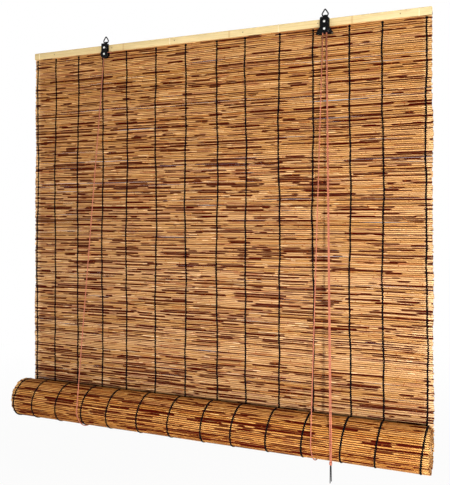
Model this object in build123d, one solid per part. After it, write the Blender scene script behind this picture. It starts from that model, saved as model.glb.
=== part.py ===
"""Reed roll-up blind: a reed mat clamped in a two-lath headrail, rolled up from below on lift cords.

Frame: X along the headrail, Y towards the wall, Z up. The origin is the centre of the back lath's wall face.
"""

from math import acos, atan2, cos, degrees, hypot, pi, radians, sin

import os

from build123d import *

# Headrail
blind_width = 1200.0
rail_height = 19.5
lath_thickness = 5.0
lath_edge_radius = 1.2
mat_inset = 2.0
brad_size = 1.4
brad_head = 3.0
brad_head_thickness = 0.6
brad_count = 6
brad_end_inset = 75.0
tie_width = 2.0
tie_thickness = 0.5
tie_place_shares = (-0.97, -0.2, 0.345, 0.95)

# Reed mat
reed_pitch = 5.0
reed_thickness = 4.6
reed_valley = 1.3
roll_drop = 1050.0
string_place_shares = (
    (-0.985, -0.872, -0.732, -0.583, -0.443, -0.28, -0.12)
    + (0.043, 0.185, 0.345, 0.5, 0.662, 0.8, 0.975)
)
string_width = 4.0
string_thickness = 1.2
string_clearance = 0.1
string_facets = 20
gap_height = 1.5
gap_string_margin = 7.0
gap_row_step = 9
gap_bay_step = 5
gap_length_shares = (1.0, 0.62, 0.8, 0.45)

# Roll
roll_radius = 57.5
roll_layer = 6.8
roll_turns = 6
roll_facets = 16
core_gap = 0.3

# Hanging brackets, one at each end of the lift gear
bracket_reach = 335.0
plate_thickness = 1.2
plate_gap = 9.5
plate_top = 13.0
pulley_plate_width = 19.0
pulley_cheek_radius = 12.5
lock_plate_width = 23.0
lock_shoulder = 3.5
bell_width = 44.0
bell_waist = 12.0
bell_bottom = 32.0
bell_corner = 3.0
bell_notch_left = 8.0
bell_notch_right = 9.0
bell_notch_height = 3.0
neck_width = 10.0
eye_height = 17.0
eye_length = 7.6
eye_wall = 1.4
fixing_height = 0.5
fixing_radius = 1.6
fixing_end_inset = 0.5
rivet_head_radius = 3.2
rivet_head_thickness = 1.3
spacer_radius = 4.2

# Pulley wheels
wheel_drop = 18.5
wheel_radius = 7.5
wheel_side_clearance = 0.3
cord_pitch_radius = 4.8
groove_half_width = 1.5
groove_rim_half_width = 1.95
groove_spread = 2.2
groove_clearance = 0.15
axle_radius = 1.8
axle_tail_thickness = 1.2
running_clearance = 0.05

# Locking roller
roller_radius = 3.0
roller_tooth = 0.5
roller_teeth = 14
roller_pin_radius = 1.2
roller_pin_clearance = 0.1
roller_cord_clearance = 0.4
roller_drop = 5.5
roller_travel = 5.0
roller_slope = 55.0
post_radius = 2.0
post_inset = 4.0
post_height = 3.5

# Hanging rings
ring_wire_radius = 1.7
ring_base_width = 12.0
ring_width = 16.5
ring_shoulder = 5.5
ring_height = 17.5
ring_corner_share = 0.22

# Cords
cord_radius = 1.3
cord_sides = 6
left_sling_reach = 360.0
right_sling_reach = 325.0
cord_clearance = 0.3
cord_end_gap = 0.2
cross_pass_reach = 15.0
cross_bend = 5.0
pull_reach = 38.0
pull_spread = 3.5
pull_front_gap = 0.8
pull_contact_rise = 10.0
knot_drop = 40.0
knot_radius = 3.6
knot_length = 7.0
knot_waist_share = 0.6
tail_length = 44.0

overrun = 2.0

# Places that follow from the sizes above
mat_back = -lath_thickness
mat_front = mat_back - reed_thickness
rail_front = mat_front - lath_thickness
mat_top = rail_height / 2 - mat_inset
mat_length = mat_top + roll_drop
roll_axis_y = mat_back - roll_radius
plate_front = rail_front - plate_thickness
cover_back = plate_front - plate_gap
cover_front = cover_back - plate_thickness
groove_y = plate_front - plate_gap / 2
wheel_z = -wheel_drop
cord_top_z = wheel_z + cord_pitch_radius
sling_radius = roll_radius + cord_clearance + cord_radius
back_cord_y = mat_back + cord_clearance + cord_radius
string_places = [share * blind_width / 2 for share in string_place_shares]
tie_places = [share * blind_width / 2 for share in tie_place_shares]
cross_places = (cross_pass_reach - bracket_reach, bracket_reach - cross_pass_reach)
roller_place = (
    cord_pitch_radius + cord_radius + roller_cord_clearance + roller_radius,
    wheel_z - roller_drop,
)
roller_way = (cos(radians(roller_slope)), -sin(radians(roller_slope)))


def block(low, high):
    """A box between two opposite corners."""
    size = [b - a for a, b in zip(low, high)]
    middle = [(a + b) / 2 for a, b in zip(low, high)]
    return Pos(*middle) * Box(*size)


def rod_y(x, z, radius, back, front):
    """A round bar along Y, from its back face to its front face."""
    return Pos(x, (back + front) / 2, z) * Rot(90, 0, 0) * Cylinder(radius, back - front)


def slab(outline, back, thickness):
    """A sheet cut to an outline in X and Z, with its back face at the given Y."""
    return Pos(0, back, 0) * extrude(Plane.XZ * outline, thickness)


def tube(path):
    """A cord along a path, with a plain many-sided section."""
    section = RegularPolygon(cord_radius, cord_sides)
    return sweep(Plane(path @ 0, z_dir=path % 0) * section, path=path)


def straight(start, end):
    """A tight length of cord between two points, short of both by the end gap."""
    whole = Line(start, end)
    trim = cord_end_gap / whole.length
    return tube(Line(whole @ trim, whole @ (1 - trim)))


# Headrail


def brad_places():
    span = blind_width - 2 * brad_end_inset
    return [span * (i / (brad_count - 1) - 0.5) for i in range(brad_count)]


def brad(x):
    """A square brad driven from the front lath into the back one."""
    half = brad_size / 2
    shank = block((x - half, rail_front, -half), (x + half, -fixing_end_inset, half))
    half = brad_head / 2
    face = rail_front - brad_head_thickness
    return shank + block((x - half, face, -half), (x + half, rail_front, half))


def tie(x):
    """A thin band wrapped round both laths."""
    half = tie_width / 2
    low = rail_height / 2
    outer = block(
        (x - half, rail_front - tie_thickness, -low - tie_thickness),
        (x + half, 0, low + tie_thickness),
    )
    inner = block((x - tie_width, rail_front, -low), (x + tie_width, -tie_thickness, low))
    return outer - inner


def tie_seats():
    """What the bands take out of the back lath's wall face."""
    half = tie_width / 2
    height = rail_height
    return [block((x - half, -tie_thickness, -height), (x + half, overrun, height)) for x in tie_places]


def brad_holes():
    half = brad_size / 2
    low = (rail_front - overrun, -half)
    high = (-fixing_end_inset, half)
    return [block((x - half, *low), (x + half, *high)) for x in brad_places()]


def fixing_holes():
    back = -fixing_end_inset
    front = rail_front - overrun
    return [rod_y(x, fixing_height, fixing_radius, back, front) for x in (-bracket_reach, bracket_reach)]


def lath(back, front):
    low = (-blind_width / 2, front, -rail_height / 2)
    high = (blind_width / 2, back, rail_height / 2)
    return block(low, high)


def front_lath():
    piece = lath(mat_front, rail_front)
    long_edges = piece.faces().sort_by(Axis.Y)[0].edges().filter_by(Axis.X)
    return fillet(long_edges, lath_edge_radius) - brad_holes() - fixing_holes()


def back_lath():
    return lath(0, mat_back) - brad_holes() - fixing_holes() - tie_seats()


# Reed mat


def ridge_line(crest, inward):
    """Points down one face of the mat: a valley and a crest for each reed."""
    reeds = round(mat_length / reed_pitch)
    pitch = mat_length / reeds
    points = []
    for i in range(reeds):
        top = mat_top - i * pitch
        points += [(crest + inward * reed_valley, top), (crest, top - pitch / 2)]
    points.append((crest + inward * reed_valley, -roll_drop))
    return points


def mat_gaps():
    """Slits of daylight between neighbouring reeds, scattered over the bays between the strings."""
    reeds = round(mat_length / reed_pitch)
    pitch = mat_length / reeds
    first = round((mat_top + rail_height) / pitch)
    last = round((mat_length - 2 * roll_radius) / pitch)
    slits = []
    for n, row in enumerate(range(first, last, gap_row_step)):
        bay = n * gap_bay_step % (len(string_places) - 1)
        bay_length = string_places[bay + 1] - string_places[bay] - 2 * gap_string_margin
        length = bay_length * gap_length_shares[n % len(gap_length_shares)]
        left = string_places[bay] + gap_string_margin + (bay_length - length) * (n % 2)
        z = mat_top - row * pitch
        slits.append(
            block(
                (left, mat_front - overrun, z - gap_height / 2),
                (left + length, mat_back + overrun, z + gap_height / 2),
            )
        )
    return slits


def cord_passes():
    """Where the cross cord goes through the mat, just below the headrail."""
    half = cord_radius + cord_clearance
    left, right = cross_places
    spans = ((left - half, left + half + cross_bend), (right - half - cross_bend, right + half))
    return [
        block(
            (low, mat_front - overrun, cord_top_z - half),
            (high, mat_back + overrun, cord_top_z + half),
        )
        for low, high in spans
    ]


def tie_slots():
    half = tie_width / 2
    low = -rail_height / 2
    return [
        block((x - half, mat_front - overrun, low - tie_thickness), (x + half, mat_back + overrun, low))
        for x in tie_places
    ] + [
        block((x - half, mat_front - overrun, mat_top), (x + half, mat_back + overrun, rail_height))
        for x in tie_places
    ]


def hanging_mat():
    front = ridge_line(mat_front, 1)
    back = ridge_line(mat_back, -1)
    outline = Plane.YZ * make_face(Polyline(*front, *reversed(back), close=True))
    wall = extrude(outline, blind_width / 2, both=True)
    return wall - (mat_gaps() + cord_passes() + tie_slots() + brad_holes() + fixing_holes())


def warp_strings():
    """The dark strings that bind the reeds, seen on both faces below the headrail."""
    half = string_width / 2
    below_rail = -rail_height / 2 - tie_thickness
    below_cross_cord = cord_top_z - cord_radius - cord_clearance
    strings = []
    for x in string_places:
        front = (mat_front - string_thickness, mat_front, -roll_drop + roll_radius, below_rail)
        back = (mat_back, mat_back + string_thickness, -roll_drop, below_cross_cord)
        for near, far, bottom, top in (front, back):
            strings.append(block((x - half, near, bottom), (x + half, far, top)))
    return strings


# Roll


def spiral_point(turn, offset):
    """A point of the wound mat's middle line, moved outwards by an offset. Turn 0 is where the mat runs on."""
    radius = roll_radius - reed_thickness / 2 - roll_layer * turn + offset
    angle = -2 * pi * turn
    return (roll_axis_y + radius * cos(angle), -roll_drop + radius * sin(angle))


def mat_roll():
    """The rolled length of mat: one spiral wall, with reed ridges on the turn that shows."""
    half = reed_thickness / 2
    ridges = round(2 * pi * roll_radius / reed_pitch)
    outer = []
    for i in range(ridges):
        outer.append(spiral_point(i / ridges, half - reed_valley))
        outer.append(spiral_point((i + 1 / 2) / ridges, half))
    inner_facets = range(roll_facets, roll_turns * roll_facets + 1)
    outer += [spiral_point(i / roll_facets, half) for i in inner_facets]
    inner = [spiral_point(i / roll_facets, -half) for i in range(roll_turns * roll_facets + 1)]
    outline = Plane.YZ * make_face(Polyline(*outer, *reversed(inner), close=True))
    return extrude(outline, blind_width / 2, both=True)


def roll_strings():
    """The same strings where they go round the turn that shows: thin bands that follow its spiral."""
    lift = 1 / cos(pi / string_facets)
    rise = reed_thickness / 2 + string_clearance
    inner = []
    outer = []
    for i in range(string_facets + 1):
        stand = (roll_radius + string_clearance) * (lift - 1)
        inner.append(spiral_point(i / string_facets, rise + stand))
        outer.append(spiral_point(i / string_facets, rise + stand + string_thickness))
    outline = Plane.YZ * make_face(Polyline(*inner, *reversed(outer), close=True))
    band = extrude(outline, string_width / 2, both=True)
    return [Pos(x, 0, 0) * band for x in string_places]


def core_rod():
    """The round cane that the mat's lower end is wound on."""
    inside = roll_radius - reed_thickness - roll_layer * roll_turns
    radius = inside * cos(pi / roll_facets) - core_gap
    return Pos(0, roll_axis_y, -roll_drop) * Rot(0, 90, 0) * Cylinder(radius, blind_width)


# Brackets


def rivet(x, z, radius, tail):
    """A rivet with a flat round head on the cover plate."""
    head = rod_y(x, z, rivet_head_radius, cover_front, cover_front - rivet_head_thickness)
    return rod_y(x, z, radius, tail, cover_front) + head


def fixing(x):
    """The long rivet that holds a bracket to both laths."""
    return rivet(x, fixing_height, fixing_radius, -fixing_end_inset)


def axle(x):
    """The rivet that a wheel turns on, closed behind the back plate."""
    shank = rivet(x, wheel_z, axle_radius, rail_front)
    tail = rod_y(x, wheel_z, rivet_head_radius, rail_front + axle_tail_thickness, rail_front)
    return shank + tail


def spacer(x):
    tube_body = rod_y(x, fixing_height, spacer_radius, plate_front, cover_back)
    return tube_body - rod_y(x, fixing_height, fixing_radius, plate_front, cover_back)


def pulley_outline():
    """A strap that ends in a round cheek."""
    strap_height = plate_top + wheel_drop
    strap = Pos(0, plate_top - strap_height / 2) * Rectangle(pulley_plate_width, strap_height)
    return strap + Pos(0, wheel_z) * Circle(pulley_cheek_radius)


def lock_outline():
    """A shouldered strap that flares into a bell with a notched mouth."""
    half = lock_plate_width / 2
    flare = bell_width / 2
    bell = Polyline(
        (-half + lock_shoulder, plate_top),
        (half - lock_shoulder, plate_top),
        (half, plate_top - lock_shoulder),
        (half, -bell_waist),
        (flare, -bell_bottom + bell_notch_height),
        (flare - bell_corner, -bell_bottom),
        (bell_notch_right, -bell_bottom),
        (bell_notch_right, -bell_bottom + bell_notch_height),
        (-bell_notch_left, -bell_bottom + bell_notch_height),
        (-bell_notch_left, -bell_bottom),
        (-flare + bell_corner, -bell_bottom),
        (-flare, -bell_bottom + bell_notch_height),
        (-half, -bell_waist),
        (-half, plate_top - lock_shoulder),
        close=True,
    )
    return make_face(bell)


def plate_holes(outline):
    fixing_hole = Pos(0, fixing_height) * Circle(fixing_radius)
    axle_hole = Pos(0, wheel_z) * Circle(axle_radius)
    return outline - fixing_hole - axle_hole


def roller_slots(outline):
    """The sloping slot that the roller's pin rides in."""
    start = Vector(*roller_place)
    end = start + Vector(*roller_way) * roller_travel
    width = 2 * (roller_pin_radius + roller_pin_clearance)
    return outline - SlotCenterToCenter((end - start).length, width, rotation=-roller_slope).moved(
        Location(tuple((start + end) / 2))
    )


def hanger(x, outline):
    """A back plate with a neck that is curled round the foot of its ring."""
    hole = ring_wire_radius + running_clearance
    neck_top = eye_height - hole - eye_wall
    neck = Pos(0, (plate_top + neck_top) / 2) * Rectangle(neck_width, neck_top - plate_top)
    curl = Pos(0, (neck_top + eye_height) / 2) * Rectangle(eye_length, eye_height - neck_top)
    sheet = slab(outline + neck + curl, rail_front, plate_thickness)
    axis_y = (rail_front + plate_front) / 2
    eye = Pos(0, axis_y, eye_height) * Rot(0, 90, 0) * Cylinder(hole + eye_wall, eye_length)
    bore = Pos(0, axis_y, eye_height) * Rot(0, 90, 0) * Cylinder(hole, eye_length)
    return Pos(x, 0, 0) * (sheet + eye - bore)


def cover(x, outline):
    return Pos(x, 0, 0) * slab(outline, cover_back, plate_thickness)


def wheel(x, grooves):
    """A wheel that fills the bracket but for its side clearance, with one groove for each cord."""
    half = plate_gap / 2 - wheel_side_clearance
    floor = cord_pitch_radius - cord_radius - groove_clearance
    bore = axle_radius + running_clearance
    rim = [(bore, -half), (wheel_radius, -half)]
    for place in grooves:
        rim += [
            (wheel_radius, place - groove_rim_half_width),
            (floor, place - groove_half_width),
            (floor, place + groove_half_width),
            (wheel_radius, place + groove_rim_half_width),
        ]
    rim += [(wheel_radius, half), (bore, half)]
    section = make_face(Polyline(*rim, close=True))
    return Pos(x, groove_y, wheel_z) * revolve(section, Axis.Y)


def lock_posts():
    """Two posts that hold the bell's corners apart."""
    reach = bell_width / 2 - post_inset
    z = -bell_bottom + post_height
    return [rod_y(bracket_reach + side * reach, z, post_radius, plate_front, cover_back) for side in (-1, 1)]


def lock_roller():
    """The toothed roller on its pin, resting beside the pull cords."""
    x, z = roller_place
    teeth = []
    for i in range(2 * roller_teeth):
        radius = roller_radius - roller_tooth * (i % 2)
        angle = pi * i / roller_teeth
        teeth.append((x + radius * cos(angle), z + radius * sin(angle)))
    length = plate_gap - 2 * wheel_side_clearance
    barrel = slab(make_face(Polyline(*teeth, close=True)), plate_front - wheel_side_clearance, length)
    return Pos(bracket_reach, 0, 0) * (barrel + rod_y(x, z, roller_pin_radius, rail_front, cover_front))


def ring(x):
    """A bent-wire hanging ring: a triangle on a narrower foot, made as two mirrored halves."""
    ease = ring_corner_share * ring_shoulder
    corners = [
        Vector(0, 0, 0),
        Vector(ring_base_width / 2, 0, 0),
        Vector(ring_width / 2, 0, ring_shoulder),
        Vector(0, 0, ring_height),
    ]
    foot, shoulder, top = corners[1:]
    points = [
        corners[0],
        foot,
        shoulder + (foot - shoulder).normalized() * ease,
        shoulder + (top - shoulder).normalized() * ease,
        top,
    ]
    section = Plane(corners[0], z_dir=(1, 0, 0)) * Circle(ring_wire_radius)
    half = sweep(section, path=Polyline(*points), transition=Transition.RIGHT)
    half -= Pos(-ring_width, 0, 0) * Box(2 * ring_width, ring_width, 4 * ring_height)
    axis_y = (rail_front + plate_front) / 2
    return Pos(x, axis_y, eye_height) * (half + mirror(half, about=Plane.YZ))


# Cords


def front_tangent(y):
    """Where a tight cord from a wheel at the given Y first meets the sling's circle, in Y and Z."""
    away = (y - roll_axis_y, wheel_z + roll_drop)
    angle = atan2(away[1], away[0]) + acos(sling_radius / hypot(*away))
    return (roll_axis_y + sling_radius * cos(angle), -roll_drop + sling_radius * sin(angle), angle)


def lift_cord(x, foot, y):
    """A lift cord's three lengths: behind the mat, under the roll and slantwise up to its wheel."""
    side = x - cord_pitch_radius
    meet_y, meet_z, angle = front_tangent(y)
    behind = straight((foot, back_cord_y, -rail_height / 2 + cord_end_gap), (foot, back_cord_y, -roll_drop))
    centre = Plane((foot, roll_axis_y, -roll_drop), x_dir=(0, 1, 0), z_dir=(1, 0, 0))
    under = tube(centre * CenterArc((0, 0), sling_radius, 0, degrees(angle) - 360))
    in_front = straight((foot, meet_y, meet_z), (side, y, wheel_z))
    return behind, under, in_front


def over_wheel(x, y, start, turn):
    """The path of a cord round part of a wheel."""
    middle = Plane((x, y, wheel_z), x_dir=(1, 0, 0), z_dir=(0, -1, 0))
    return middle * CenterArc((0, 0), cord_pitch_radius, start, turn)


def cross_cord(y_left, y_right):
    """The left cord's run to the lock: over its wheel, behind the mat under the back lath, and forward again."""
    left, right = cross_places
    start = over_wheel(-bracket_reach, y_left, 180, -90)
    end = over_wheel(bracket_reach, y_right, 90, -90)
    run = FilletPolyline(
        start @ 1,
        (left, y_left, cord_top_z),
        (left, back_cord_y, cord_top_z),
        (right, back_cord_y, cord_top_z),
        (right, y_right, cord_top_z),
        end @ 0,
        radius=cross_bend,
    )
    return tube(Wire(start.edges() + run.edges() + end.edges()))


def pull_contact(i):
    """Where one of the two pull cords comes to the front of the roll."""
    x = bracket_reach + pull_reach + i * pull_spread
    y = roll_axis_y - roll_radius - cord_radius - pull_front_gap
    return (x, y, -roll_drop + pull_contact_rise)


def pull_strand(i, y):
    return straight((bracket_reach + cord_pitch_radius, y, wheel_z), pull_contact(i))


def knot_top():
    x, y, _ = pull_contact(0)
    return Vector(x + pull_spread / 2, y, -roll_drop - knot_drop)


def pull_drop():
    """The two pull cords' plumb ends, in front of the roll and down to their knot."""
    bottom = knot_top().Z
    ends = [pull_contact(i) for i in range(2)]
    return [straight(end, (end[0], end[1], bottom + cord_end_gap)) for end in ends]


def pull_knot():
    """A plain barrel for the knot that joins the two pull cords."""
    rims = []
    for height, share in ((0, knot_waist_share), (knot_length / 2, 1), (knot_length, knot_waist_share)):
        level = Plane(knot_top() - Vector(0, 0, height))
        rims.append(level * RegularPolygon(knot_radius * share, cord_sides))
    return loft(rims[:2]) + loft(rims[1:])


def pull_tail():
    top = knot_top() - Vector(0, 0, knot_length)
    return tube(Line(top, top - Vector(0, 0, tail_length)))


def main():
    front_groove = groove_y - groove_spread
    rear_groove = groove_y + groove_spread
    pulley_plate = plate_holes(pulley_outline())
    lock_plate = roller_slots(plate_holes(lock_outline()))
    left_behind, left_under, left_front = lift_cord(-bracket_reach, -left_sling_reach, groove_y)
    right_behind, right_under, right_front = lift_cord(bracket_reach, right_sling_reach, front_groove)
    pieces = {
        "front_lath": front_lath(),
        "back_lath": back_lath(),
        "lath_brads": [brad(x) for x in brad_places()],
        "lath_ties": [tie(x) for x in tie_places],
        "hanging_mat": hanging_mat(),
        "warp_strings": warp_strings(),
        "mat_roll": mat_roll(),
        "roll_strings": roll_strings(),
        "core_rod": core_rod(),
        "pulley_hanger": hanger(-bracket_reach, pulley_plate),
        "pulley_cover": cover(-bracket_reach, pulley_plate),
        "pulley_wheel": wheel(-bracket_reach, [0]),
        "pulley_axle": axle(-bracket_reach),
        "pulley_fixing": fixing(-bracket_reach),
        "pulley_spacer": spacer(-bracket_reach),
        "pulley_ring": ring(-bracket_reach),
        "lock_hanger": hanger(bracket_reach, lock_plate),
        "lock_cover": cover(bracket_reach, lock_plate),
        "lock_wheel": wheel(bracket_reach, [-groove_spread, groove_spread]),
        "lock_axle": axle(bracket_reach),
        "lock_fixing": fixing(bracket_reach),
        "lock_spacer": spacer(bracket_reach),
        "lock_posts": lock_posts(),
        "lock_roller": lock_roller(),
        "lock_ring": ring(bracket_reach),
        "left_cord_behind": left_behind,
        "left_cord_sling": left_under,
        "left_cord_front": left_front,
        "cross_cord": cross_cord(groove_y, rear_groove),
        "right_cord_behind": right_behind,
        "right_cord_sling": right_under,
        "right_cord_front": right_front,
        "right_cord_over_lock": tube(over_wheel(bracket_reach, front_groove, 180, -180)),
        "pull_cord_left": pull_strand(0, front_groove),
        "pull_cord_right": pull_strand(1, rear_groove),
        "pull_cord_drop": pull_drop(),
        "pull_cord_knot": pull_knot(),
        "pull_cord_tail": pull_tail(),
    }
    os.makedirs("parts", exist_ok=True)
    for name, shape in pieces.items():
        solids = shape if isinstance(shape, list) else [shape]
        export_step(Compound(children=[s for piece in solids for s in piece.solids()]), f"parts/{name}.step")


main()
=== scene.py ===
"""Dressed model of a reed roll-up blind: reeds, twined strings, cords, laths and lift gear."""

import math
import random

import bmesh
import bpy
from bpy.props import FloatProperty, FloatVectorProperty, IntProperty, PointerProperty
from mathutils import Matrix, Vector


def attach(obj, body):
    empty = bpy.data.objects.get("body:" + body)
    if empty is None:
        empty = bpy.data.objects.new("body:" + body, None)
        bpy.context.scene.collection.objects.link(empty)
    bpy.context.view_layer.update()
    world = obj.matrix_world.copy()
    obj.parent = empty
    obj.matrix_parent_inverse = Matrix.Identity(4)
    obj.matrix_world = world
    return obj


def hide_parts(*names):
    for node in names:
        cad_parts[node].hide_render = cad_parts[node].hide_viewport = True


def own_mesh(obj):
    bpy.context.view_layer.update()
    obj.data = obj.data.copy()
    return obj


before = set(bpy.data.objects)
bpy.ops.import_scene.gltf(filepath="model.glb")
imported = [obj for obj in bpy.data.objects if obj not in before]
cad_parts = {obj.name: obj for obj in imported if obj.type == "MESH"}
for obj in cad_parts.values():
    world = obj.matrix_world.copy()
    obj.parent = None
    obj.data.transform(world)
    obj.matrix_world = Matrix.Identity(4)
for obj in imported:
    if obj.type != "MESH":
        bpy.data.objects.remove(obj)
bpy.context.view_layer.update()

bl_info = {
    "name": "Reed roll-up blind",
    "version": (1, 0, 0),
    "blender": (4, 5, 0),
    "location": "3D View > Sidebar > Blind",
    "description": "Builds the reeds, strings, cords and lift gear of a reed roll-up blind",
    "category": "Object",
}


# Sizes and colours


def length(name, description, default):
    """A size in metres."""
    return FloatProperty(name=name, description=description, default=default, unit="LENGTH", precision=5)


def tint(name, description, red, green, blue):
    """A colour, given as a screen's red, green and blue from 0 to 255."""
    linear = []
    for part in (red, green, blue):
        share = part / 255
        linear.append(share / 12.92 if share <= 0.04045 else ((share + 0.055) / 1.055) ** 2.4)
    return FloatVectorProperty(
        name=name, description=description, default=linear, size=3, subtype="COLOR", min=0, max=1
    )


class BlindSizes(bpy.types.PropertyGroup):
    """Sizes of the blind."""

    width: length("Width", "Length of the laths and of the reeds", 1.2)
    drop: length("Drop", "From the rail's middle down to the roll's axis", 1.05)
    rail_height: length("Rail height", "Height of the two laths", 0.0195)
    lath_thickness: length("Lath thickness", "Thickness of each lath", 0.005)
    lath_edge: length("Lath edge", "Rounding of a lath's long edges", 0.0012)
    brads: IntProperty(name="Brads", description="Brads that close the laths on the mat", default=6, min=2)
    brad_inset: length("Brad inset", "From a lath's end to the first brad", 0.075)
    brad_head: length("Brad head", "Width of a brad's square head", 0.003)
    brad_size: length("Brad size", "Width of a brad's square shank", 0.0014)
    brad_rise: length("Brad rise", "Thickness of a brad's head", 0.0006)
    mat_top: length("Mat top", "Height of the uppermost reed", 0.00775)
    mat_middle: length("Mat middle", "Place of the reeds' middle line in Y", -0.0073)
    mat_thickness: length("Mat thickness", "Thickness of the mat between the laths", 0.0046)
    reed_pitch: length("Reed pitch", "Distance from reed to reed", 0.005)
    reed_thickness: length("Reed thickness", "Mean diameter of a reed", 0.0057)
    reed_sides: IntProperty(name="Reed sides", description="Faces round a reed", default=6, min=4)
    reed_spans: IntProperty(name="Reed spans", description="Faces along a reed", default=10, min=1)
    reed_end_play: length("Reed end play", "How far the reeds' ends differ", 0.0018)
    reed_slide: length("Reed slide", "How far neighbouring reeds have slid sideways together", 0.0014)
    reed_wander: length("Reed wander", "How far a reed strays from its line", 0.00015)
    reed_wave: length("Reed wave", "How far neighbouring reeds rise and fall together", 0.001)
    reed_parting: length("Reed parting", "How far two reeds part at a slit of daylight", 0.00055)
    strings: FloatVectorProperty(
        name="Strings",
        description="Places of the warp strings, as shares of half the width",
        size=14,
        default=(
            (-0.985, -0.872, -0.732, -0.583, -0.443, -0.28, -0.12)
            + (0.043, 0.185, 0.345, 0.5, 0.662, 0.8, 0.975)
        ),
    )
    thread_radius: length("Thread radius", "Radius of each of a string's two threads", 0.0026)
    thread_lean: length("Thread lean", "How far the two threads part where they cross", 0.0009)
    string_drift: length("String drift", "How far the strings stray sideways round the roll", 0.007)
    string_sway: length("String sway", "How far the hanging strings stray sideways", 0.0026)
    roll_radius: length("Roll radius", "Outer radius of the rolled mat", 0.0575)
    roll_layer: length("Roll layer", "Distance from turn to turn", 0.0068)
    roll_turns: IntProperty(name="Roll turns", description="Turns of the rolled mat", default=6, min=1)
    bracket_reach: length("Bracket reach", "From the middle to each bracket", 0.335)
    plate_thickness: length("Plate thickness", "Thickness of the brackets' plates", 0.0012)
    plate_gap: length("Plate gap", "Space between a bracket's two plates", 0.0095)
    fixing_height: length("Fixing height", "Height of the rivets that hold the brackets", 0.0005)
    eye_height: length("Eye height", "Height of the eyes that the rings swing in", 0.017)
    ring_wire: length("Ring wire", "Radius of the rings' wire", 0.0017)
    wheel_drop: length("Wheel drop", "From the rail's middle down to the wheels' axles", 0.0185)
    cord_pitch: length("Cord pitch radius", "Radius of a cord's line round a wheel", 0.0048)
    groove_spread: length("Groove spread", "From the lock wheel's middle to each of its grooves", 0.0022)
    cross_pass: length("Cross pass", "From a bracket to where the cross cord goes through the mat", 0.015)
    cord_diameter: length("Cord diameter", "Thickness of the braided cords", 0.0026)
    cord_lead: length("Cord lead", "From the axles down to where the cords leave the brackets", 0.0155)
    cord_rise: length("Cord rise", "Length of cord above the roll that rises with it", 0.075)
    left_foot: length("Left foot", "Where the left lift cord goes under the roll", -0.36)
    right_foot: length("Right foot", "Where the right lift cord goes under the roll", 0.325)
    pull_reach: length("Pull reach", "From the lock to the left pull cord at the roll", 0.038)
    pull_spread: length("Pull spread", "Distance between the two pull cords at the roll", 0.0035)
    knot_drop: length("Knot drop", "From the roll's axis down to the pull cords' knot", 0.04)
    lift: length("Lift", "How far the roll rises", 0.82)


class BlindColours(bpy.types.PropertyGroup):
    """Colours of the blind."""

    reed_gold: tint("Reed gold", "Light stretches of a reed", 209, 162, 112)
    reed_tan: tint("Reed tan", "Middle tone of a reed", 187, 136, 78)
    reed_brown: tint("Reed brown", "Deep stretches of a reed", 150, 78, 30)
    reed_mauve: tint("Reed mauve", "Dull violet stretches of a reed", 134, 78, 66)
    # Painted shade on each reed's flanks, where it meets its neighbours; the brads' dull spots use the
    # same colour as rust.
    flank_shade_and_rust: tint("Flank shade and rust", "Flanks of a reed, next to its neighbours", 84, 20, 2)
    reed_maroon: tint("Reed maroon", "Dark streaks on a reed", 64, 4, 0)
    reed_cream: tint("Reed cream", "Pale flecks on a reed", 250, 210, 160)
    roll_amber: tint("Roll amber", "Tone of the mat's outer face on the roll", 255, 222, 116)
    reed_pith: tint("Reed pith", "Cut ends of the reeds", 222, 186, 134)
    lath_pale: tint("Lath pale", "Light fibres of the laths", 224, 202, 150)
    lath_deep: tint("Lath deep", "Deep fibres of the laths", 204, 176, 120)
    twine: tint("Twine", "Warp strings", 6, 5, 5)
    band: tint("Band", "Thread bands on the rail", 244, 236, 218)
    cord_rose: tint("Cord rose", "Light strands of the cords", 196, 120, 92)
    cord_brown: tint("Cord brown", "Deep strands of the cords", 156, 76, 52)
    cord_tip: tint("Cord tip", "The cords' bound ends", 22, 16, 18)
    paint: tint("Paint", "Painted steel of the brackets", 3, 3, 4)
    steel: tint("Steel", "Plated rivets", 214, 214, 210)
    nail: tint("Nail", "Plain brads in the laths", 150, 132, 98)
    moulding: tint("Moulding", "Moulded wheels and roller", 34, 33, 32)
    cane: tint("Cane", "The core that the mat is wound on", 196, 150, 92)
    floor: tint("Floor", "The floor under the blind", 244, 244, 243)


# Finishes


class Value:
    """A socket of one finish. Arithmetic on it adds Math nodes."""

    def __init__(self, finish, socket):
        self.finish = finish
        self.socket = socket

    def math(self, operation, first, second=0.0):
        return self.finish.node("ShaderNodeMath", {"operation": operation}, {0: first, 1: second})

    def __add__(self, other):
        return self.math("ADD", self, other)

    def __radd__(self, other):
        return self.math("ADD", other, self)

    def __sub__(self, other):
        return self.math("SUBTRACT", self, other)

    def __rsub__(self, other):
        return self.math("SUBTRACT", other, self)

    def __mul__(self, other):
        return self.math("MULTIPLY", self, other)

    def __rmul__(self, other):
        return self.math("MULTIPLY", other, self)

    def __truediv__(self, other):
        return self.math("DIVIDE", self, other)

    def __rtruediv__(self, other):
        return self.math("DIVIDE", other, self)

    def __mod__(self, other):
        return self.math("FLOORED_MODULO", self, other)

    def __rmod__(self, other):
        return self.math("FLOORED_MODULO", other, self)

    def __abs__(self):
        return self.math("ABSOLUTE", self)

    def sine(self):
        return self.math("SINE", self)

    def root(self):
        return self.math("SQRT", self)


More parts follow.
